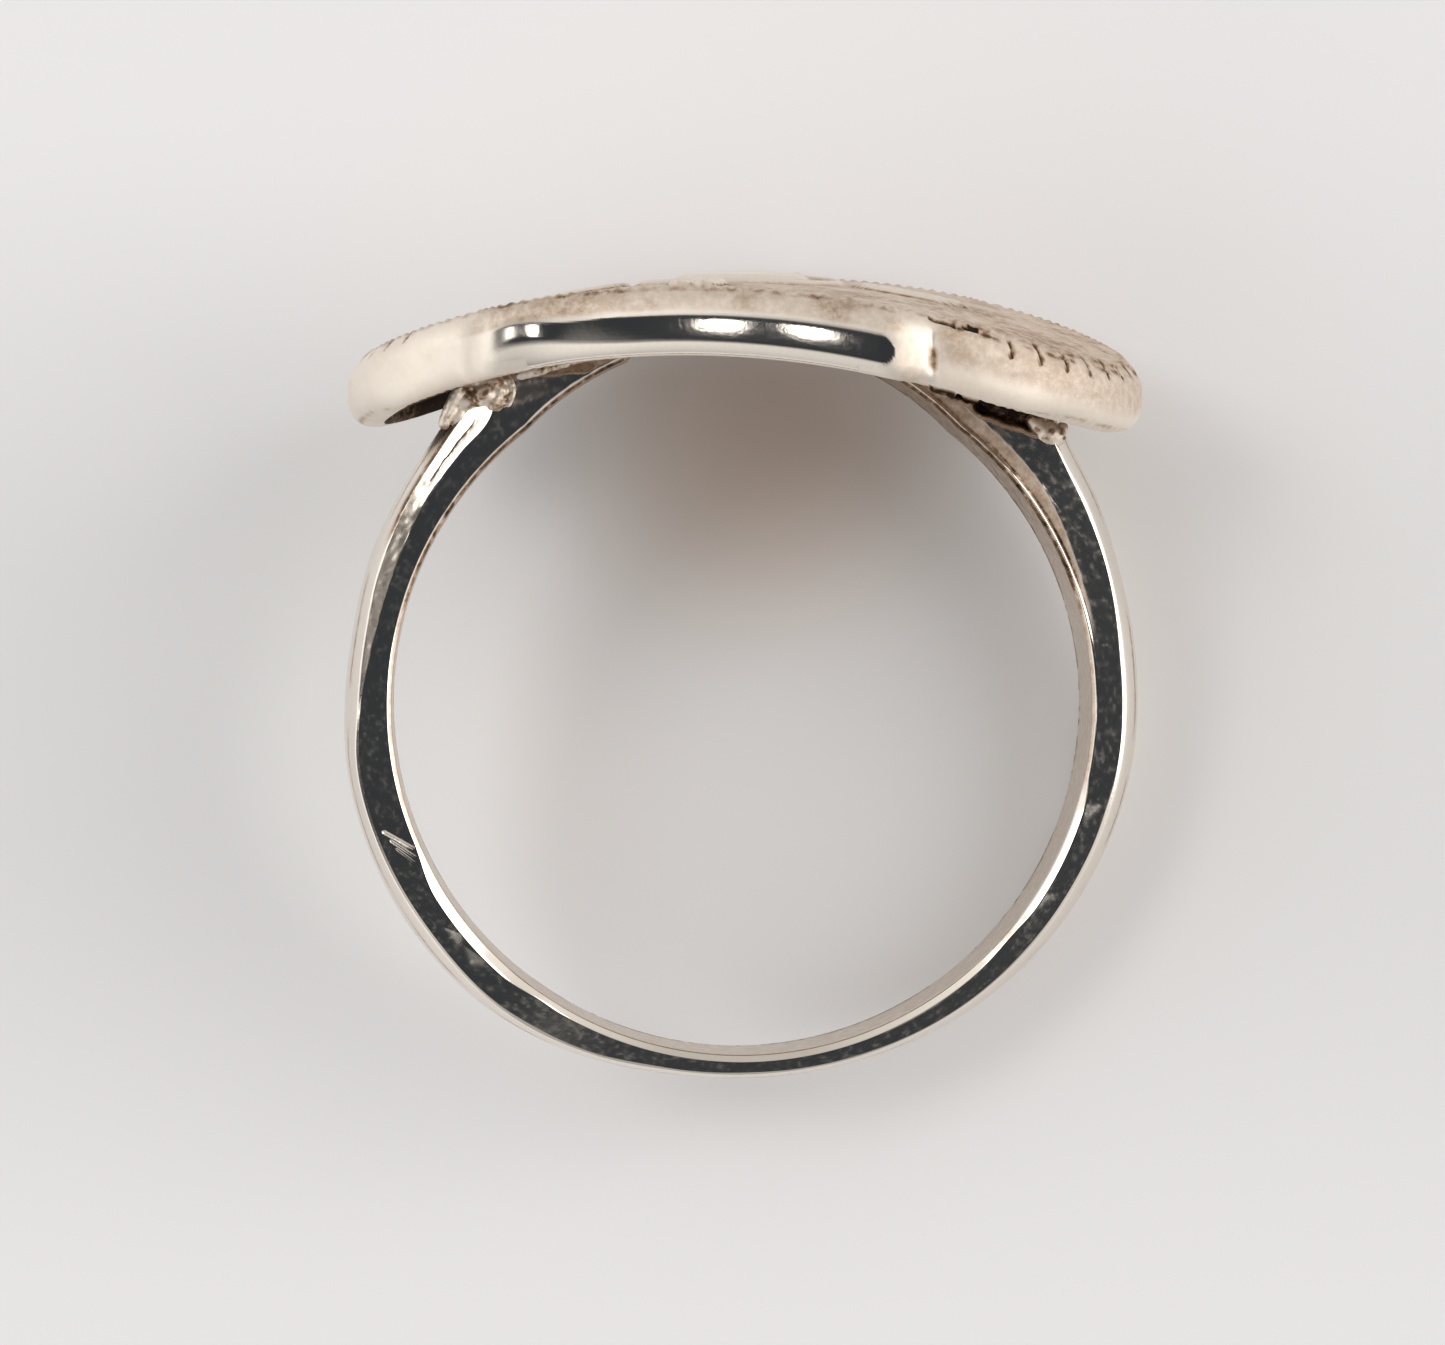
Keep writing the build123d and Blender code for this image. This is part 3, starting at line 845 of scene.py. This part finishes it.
def polish_share(x, y, depth, side, corner, low):
    """Where the near wall is polished, from 0 to 1."""
    top = POLISH_TOP - 0.18 * corner + WALL_DROP * low + 0.14 * smooth_step(-1.5, -3.4, x)
    polish = smooth_step(top - 0.05, top + 0.05, depth) * side
    left_end, left_length = POLISH_LEFT
    right_end, right_length = POLISH_RIGHT
    to_left = (left_end + left_length - x) / left_length
    to_right = (x - right_end + right_length) / right_length
    end_share = np.clip(np.where(x < 0, to_left, to_right), 0, 1)
    end_height = POLISH_HALF * np.sqrt(1 - end_share ** 2) + 0.9 * (end_share == 0)
    from_middle = np.abs(depth - WALL_MIDDLE - WALL_DROP * low)
    polish *= smooth_step(end_height + 0.03, end_height - 0.05, from_middle)
    polish *= smooth_step(3.8, 4.4, np.abs(y)) * (end_share < 1)
    return polish * smooth_step(*POLISH_FADE, x) ** 0.5


def make_plaque():
    lines, depth, inset, zone, along, neck, corner, low = plaque_rows()
    x, y = lines[..., 0], lines[..., 1]
    outside = (zone < 2.5) * 1.0
    z = bent_height(x, y, depth)
    flat = np.stack([x, y, z], axis=-1).reshape(-1, 3)
    lumps = rough(flat, *LAYERS["lumps"]).reshape(x.shape)
    patches = rough(flat, *LAYERS["patches"]).reshape(x.shape)
    on_lobe = smooth_step(BODY_LENGTH / 2 - 0.1, BODY_LENGTH / 2 + 0.4, np.abs(x))
    on_left, on_right = on_lobe * (x < 0), on_lobe * (x > 0)
    on_top = (zone < 0.5) * smooth_step(0.05, 0.0, depth)
    side = outside - on_top
    polish = polish_share(x, y, depth, side, corner, low)

    # Shape
    stamps = stamp_mark(x, y, depth) * side
    beads = 0.5 + 0.5 * np.cos(2 * math.pi * along / BEAD_PITCH)
    beads = beads * hump(inset, BEAD_INSET, 0.10)
    crevice = np.zeros_like(x)
    for start, end, half_width, deep in CREVICES:
        gap, _ = segment_distance(x, y, start, end)
        crevice = np.maximum(crevice, deep * smooth_step(half_width, 0.3 * half_width, gap))
    relief = relief_height(x, y) * on_top
    z = z + relief + BEAD_HEIGHT * beads * outside
    z = z - STAMP_DEPTH * stamps - crevice * outside
    z = z + 0.012 * lumps * side * (1 - polish) + 0.010 * lumps * on_top
    points = from_plaque(np.stack([x, y, z], axis=-1))

    # Tarnish, and painted shade under the left lobe and on the right lobe's upper part: right_line and
    # bead_line run along the rim's top edge, slot is at the right neck
    mottling = smooth_step(-0.3, 0.5, patches)
    raised = smooth_step(0.02, 0.07, relief)
    ground = on_top * (1 - raised)
    dull = side * (1 - polish)
    rim_top = dull * smooth_step(0.60, 0.45, depth)
    rim_top_off_lobes = rim_top * smooth_step(6.8, 4.6, np.abs(x))
    right_line = hump(depth, 0.13, 0.04) * smooth_step(-0.1, 0.4, lumps)
    bead_line = hump(inset, BEAD_INSET - 0.10, 0.04) * smooth_step(-0.3, 0.3, lumps)
    back = (zone > 2.5) * 1.0
    marks = {
        "stamps": stamps, "right_line": right_line * on_right, "bead_line": bead_line * outside,
        "crevice": crevice > 0.02, "slot": neck * between(depth, 0.62, 0.78, 1.12, 1.30) * side,
        # The extra darkening under the left lobe is partly tarnish and partly painted shade of its
        # hollow
        "back": back, "back_left": back * smooth_step(-9.5, -8.3, x) * on_left,
        "ground": ground, "ground_patches": ground * mottling,
        "foot_line": smooth_step(0.0, 0.02, relief) * ground, "top": on_top,
        "dull_patches": dull * mottling, "rim_top": rim_top_off_lobes,
        "rim_top_patches": rim_top_off_lobes * mottling,
        # The right lobe's upper part is darker: partly tarnish, partly painted shade against the key
        # light
        "right_lobe": side * on_right * smooth_step(1.20, 0.70, depth),
        "neck": (side - rim_top) * (1 - polish) * hump(x, 5.35, 0.35),
    }
    tarnish = sum(PLAQUE_TARNISH_AND_SHADE[name] * mark for name, mark in marks.items())
    matte = (1 - polish) * (0.70 + 0.08 * lumps + 0.25 * on_right)
    flow = np.stack([np.broadcast_to(along, x.shape), depth, np.zeros_like(x)], axis=-1)
    return grid_mesh("plaque", points, {"tarnish": np.clip(tarnish, 0, 1.5),
                                        "matte": np.clip(matte, 0, 1), "flow": flow})


# Solder

def make_solder():
    """Lumps in the corners, and a seam of beads between each shoulder and the plaque."""
    balls = list(SOLDER_BEADS)
    generator = np.random.default_rng(7)
    shares = np.linspace(0, 1, SEAM_BEADS)
    for side, hand, share in itertools.product((-1, 1), (-1, 1), shares):
        x = hand * (SEAM_START - SEAM_LENGTH * share)
        underside = PLAQUE_TOP - PLAQUE_WALL - x ** 2 / (2 * BEND_RADIUS) - SEAM_LEAN * x
        radius = SEAM_RADIUS + SEAM_SPREAD * generator.random()
        balls.append((x, underside - 0.02 - side * 0.1, side * SEAM_Z, radius))
    shape = bmesh.new()
    for x, y, z, radius in balls:
        bmesh.ops.create_icosphere(shape, subdivisions=2, radius=radius,
                                   matrix=Matrix.Translation((x, y, z)))
    mesh = bpy.data.meshes.new("solder")
    shape.to_mesh(mesh)
    shape.free()
    shaper = bpy.data.objects.new("solder_shaper", mesh)
    bpy.context.scene.collection.objects.link(shaper)
    remesh = shaper.modifiers.new("remesh", "REMESH")
    remesh.mode = "VOXEL"
    remesh.voxel_size = VOXEL
    blur = shaper.modifiers.new("smooth", "SMOOTH")
    blur.iterations = SMOOTHING
    depsgraph = bpy.context.evaluated_depsgraph_get()
    mesh = bpy.data.meshes.new_from_object(shaper.evaluated_get(depsgraph))
    bpy.data.objects.remove(shaper)
    points, normals = (np.zeros(len(mesh.vertices) * 3) for _ in range(2))
    mesh.vertices.foreach_get("co", points)
    mesh.vertex_normals.foreach_get("vector", normals)
    points, normals = points.reshape(-1, 3), normals.reshape(-1, 3)
    pits = rough(points, *LAYERS["pits"])
    points = points + normals * (PIT_DEPTH * pits)[:, None]
    tarnish = 0.14 + 0.5 * smooth_step(0.1, -0.4, pits)
    marks = {"tarnish": tarnish, "matte": 0.62 + 0.2 * pits, "flow": points}
    return make_piece("solder", mesh, points, marks)


# Materials

def add_node(tree, kind, links=None, **values):
    """A node with its settings, its sockets' values, and what is linked into them."""
    node = tree.nodes.new(kind)
    for name, value in values.items():
        setattr(node, name, value)
    for name, source in (links or {}).items():
        if isinstance(source, bpy.types.NodeSocket):
            tree.links.new(source, node.inputs[name])
        else:
            node.inputs[name].default_value = source
    return node


def math_node(tree, operation, first, second=0.0, clamp=False):
    return add_node(tree, "ShaderNodeMath", {0: first, 1: second}, operation=operation,
                    use_clamp=clamp).outputs[0]


def remap(tree, value, low, high, to_low=0.0, to_high=1.0, curve="LINEAR"):
    return add_node(tree, "ShaderNodeMapRange", {"Value": value, "From Min": low, "From Max": high,
                                                 "To Min": to_low, "To Max": to_high},
                    interpolation_type=curve).outputs[0]


def texture(tree, vector, name):
    scale, detail, roughness = TEXTURES[name]
    return add_node(tree, "ShaderNodeTexNoise", {"Vector": vector, "Scale": scale, "Detail": detail,
                                                 "Roughness": roughness}).outputs["Fac"]


def attribute(tree, name, output="Fac"):
    return add_node(tree, "ShaderNodeAttribute", attribute_name=name).outputs[output]


def mix_colours(tree, share, *colours):
    """Between two colours, each a socket or a value."""
    node = add_node(tree, "ShaderNodeMix", {0: share}, data_type="RGBA")
    sockets = [socket for socket in node.inputs if socket.type == "RGBA"]
    for socket, colour in zip(sockets, colours):
        if isinstance(colour, bpy.types.NodeSocket):
            tree.links.new(colour, socket)
        else:
            socket.default_value = colour
    return [socket for socket in node.outputs if socket.type == "RGBA"][0]


def ramp(tree, share, stops):
    """A colour ramp through two stops of a place and a colour."""
    node = add_node(tree, "ShaderNodeValToRGB", {"Fac": share})
    for element, (where, colour) in zip(node.color_ramp.elements, stops):
        element.position, element.color = where, colour
    return node.outputs["Color"]


def silver_material():
    material = bpy.data.materials.new("worn_silver")
    material.use_nodes = True
    tree = material.node_tree
    shader = tree.nodes["Principled BSDF"]
    place_in_mm = add_node(tree, "ShaderNodeVectorMath",
                           {0: add_node(tree, "ShaderNodeTexCoord").outputs["Object"],
                            "Scale": 1.0 / MM}, operation="SCALE").outputs[0]
    tarnish, matte = attribute(tree, "tarnish"), attribute(tree, "matte")
    stretched = add_node(tree, "ShaderNodeVectorMath",
                         {0: attribute(tree, "flow", "Vector"), 1: LINE_STRETCH},
                         operation="MULTIPLY").outputs[0]
    lines = texture(tree, stretched, "lines")
    grain, waves, grime = [texture(tree, place_in_mm, name) for name in ("grain", "waves", "grime")]

    # Colour: stains, and the painted shade and painted reflection that some marks carry in the tarnish
    # attribute
    stain_and_shade = math_node(tree, "MULTIPLY", tarnish, remap(tree, grime, *GRIME), clamp=True)
    clean = mix_colours(tree, grain, *CLEAN_SILVER)
    colour = mix_colours(tree, remap(tree, stain_and_shade, 0.0, FULL_STAIN), clean, ramp(tree, stain_and_shade, STAIN))
    tree.links.new(colour, shader.inputs["Base Color"])
    shader.inputs["Metallic"].default_value = 1.0

    # Roughness
    roughness = math_node(tree, "ADD", remap(tree, grain, *POLISHED),
                          math_node(tree, "MULTIPLY", matte, MATTE_ROUGHNESS))
    roughness = math_node(tree, "ADD", roughness,
                          math_node(tree, "MULTIPLY", stain_and_shade, STAIN_AND_SHADE_ROUGHNESS))
    tree.links.new(roughness, shader.inputs["Roughness"])

    # Bump
    heights = math_node(tree, "MULTIPLY", waves, WAVE_BUMP)
    for layer, (on_matte, everywhere) in ((lines, LINE_BUMP), (grain, GRAIN_BUMP)):
        strength = math_node(tree, "ADD", math_node(tree, "MULTIPLY", matte, on_matte), everywhere)
        layer = math_node(tree, "MULTIPLY", layer, strength)
        heights = math_node(tree, "ADD", heights, layer)
    bump = add_node(tree, "ShaderNodeBump", {"Height": heights, "Strength": 1.0,
                                             "Distance": BUMP_DISTANCE * MM})
    tree.links.new(bump.outputs[0], shader.inputs["Normal"])
    return material


def floor_material():
    material = bpy.data.materials.new("pale_gloss")
    material.use_nodes = True
    tree = material.node_tree
    shader = tree.nodes["Principled BSDF"]
    along = add_node(tree, "ShaderNodeVectorMath",
                     {0: add_node(tree, "ShaderNodeTexCoord").outputs["Object"], 1: BORE_MIDDLE},
                     operation="SUBTRACT").outputs[0]
    height = add_node(tree, "ShaderNodeVectorMath", {0: along, 1: direction(0.0, 1.0, 0.0)},
                      operation="DOT_PRODUCT").outputs["Value"]
    # Painted shade: the floor's colour is darker in a band level with the finger hole
    start, end = PAINTED_SHADE_FADE
    away = remap(tree, math_node(tree, "ABSOLUTE", height), start * MM, end * MM,
                 curve="SMOOTHSTEP")
    shaded_tone = mix_colours(tree, away, (*FLOOR_PAINTED_SHADE, 1), (*FLOOR_COLOUR, 1))
    # Painted shade: a warm, darker patch on the floor under the head, standing in for its shadow and
    # the warm light reflected off the silver
    warm_shade_point = place(np.array([[*WARM_SHADE_PLACE, -BORE_MIDDLE[2] / MM]]))[0]
    from_warm_shade = add_node(tree, "ShaderNodeVectorMath",
                         {0: along, 1: Vector(warm_shade_point) - Vector(BORE_MIDDLE)},
                         operation="DISTANCE").outputs["Value"]
    warm_shade = remap(tree, from_warm_shade, WARM_SHADE_REACH * MM, WARM_SHADE_FULL * MM, curve="SMOOTHSTEP")
    below_top = remap(tree, height, WARM_SHADE_TOP * MM, (WARM_SHADE_TOP - WARM_SHADE_FADE) * MM)
    warm_shade = math_node(tree, "MULTIPLY", warm_shade, below_top)
    colour = mix_colours(tree, warm_shade, shaded_tone, (*FLOOR_PAINTED_WARM_SHADE, 1))
    tree.links.new(colour, shader.inputs["Base Color"])
    shader.inputs["Roughness"].default_value = FLOOR_ROUGHNESS
    return material


# Stage, light and camera

def make_floor():
    mesh = bpy.data.meshes.new("floor")
    corners = [(-1, -1, 0), (1, -1, 0), (1, 1, 0), (-1, 1, 0)]
    corners = (FLOOR_SIZE * np.array(corners)).tolist()
    mesh.from_pydata(corners, [], [(0, 1, 2, 3)])
    floor = bpy.data.objects.new("floor", mesh)
    floor.data.materials.append(floor_material())
    bpy.context.scene.collection.objects.link(floor)


def direction(right, up, near=1.0):
    """A direction of the ring's frame in the frame of the floor."""
    vector = REST @ np.array([right, up, near])
    return Vector(vector / np.linalg.norm(vector))


def make_world():
    world = bpy.data.worlds.new("room")
    bpy.context.scene.world = world
    world.use_nodes = True
    tree = world.node_tree
    background = tree.nodes["Background"]
    looking = add_node(tree, "ShaderNodeTexCoord").outputs["Generated"]

    def towards(vector):
        return add_node(tree, "ShaderNodeVectorMath", {0: looking, 1: tuple(vector)},
                        operation="DOT_PRODUCT").outputs["Value"]

    middle = direction(-math.tan(math.radians(DARK_TURN)), DARK_LIFT)
    up = direction(0.0, 1.0, 0.0)
    right = up.cross(middle).normalized()
    wide = math_node(tree, "DIVIDE", towards(right), math.sin(math.radians(DARK_WIDE)))
    high = math_node(tree, "DIVIDE", towards(up), math.sin(math.radians(DARK_HIGH)))
    reach = math_node(tree, "SQRT", math_node(
        tree, "ADD", math_node(tree, "MULTIPLY", wide, wide), math_node(tree, "MULTIPLY", high, high)))
    outside = remap(tree, reach, *DARK_EDGE)
    behind = remap(tree, towards(middle), 0.05, 0.0)
    light = math_node(tree, "MAXIMUM", outside, behind)
    room = ramp(tree, remap(tree, towards(up), -1.0, 1.0),
                [(0.0, (*ROOM_BELOW, 1)), (1.0, (*ROOM_ABOVE, 1))])
    sideways = direction(1.0, 0.0, 0.0)
    for hand, colour, start in SIDE_LIGHT:
        share = remap(tree, towards(sideways * hand), start, SIDE_FULL)
        room = mix_colours(tree, share, room, (*colour, 1))
    colour = mix_colours(tree, light, (*DARK_ZONE, 1), room)
    tree.links.new(colour, background.inputs["Color"])
    background.inputs["Strength"].default_value = 1.0


def make_lights():
    for name, right, up, distance, size, power in LIGHTS:
        lamp = bpy.data.lights.new(name, "AREA")
        lamp.shape = "DISK"
        lamp.size = size
        lamp.energy = power
        lamp.color = LAMP_COLOUR
        towards = direction(right, up)
        holder = bpy.data.objects.new(name, lamp)
        holder.location = Vector(BORE_MIDDLE) + towards * distance
        holder.rotation_euler = towards.to_track_quat("Z", "Y").to_euler()
        bpy.context.scene.collection.objects.link(holder)


def make_camera():
    data = bpy.data.cameras.new("camera")
    data.lens = CAMERA_LENS
    data.clip_start = 0.005
    data.clip_end = 10
    camera = bpy.data.objects.new("camera", data)
    spot, aim = (Vector(place(np.array([p]))[0]) for p in (CAMERA_PLACE, CAMERA_AIM))
    back = (spot - aim).normalized()
    up = Vector(REST @ np.array([0.0, 1.0, 0.0]))
    right = up.cross(back).normalized()
    up = back.cross(right)
    matrix = [[right[i], up[i], back[i], spot[i]] for i in range(3)] + [[0, 0, 0, 1]]
    camera.matrix_world = Matrix(matrix)
    bpy.context.scene.collection.objects.link(camera)
    bpy.context.scene.camera = camera


make_camera()
make_floor()
make_world()
make_lights()
bpy.context.scene.view_settings.view_transform = "Standard"
silver = silver_material()
for piece in (make_band(), make_plaque(), make_solder()):
    piece.data.materials.append(silver)
    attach(piece, "root")
    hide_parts("ring")
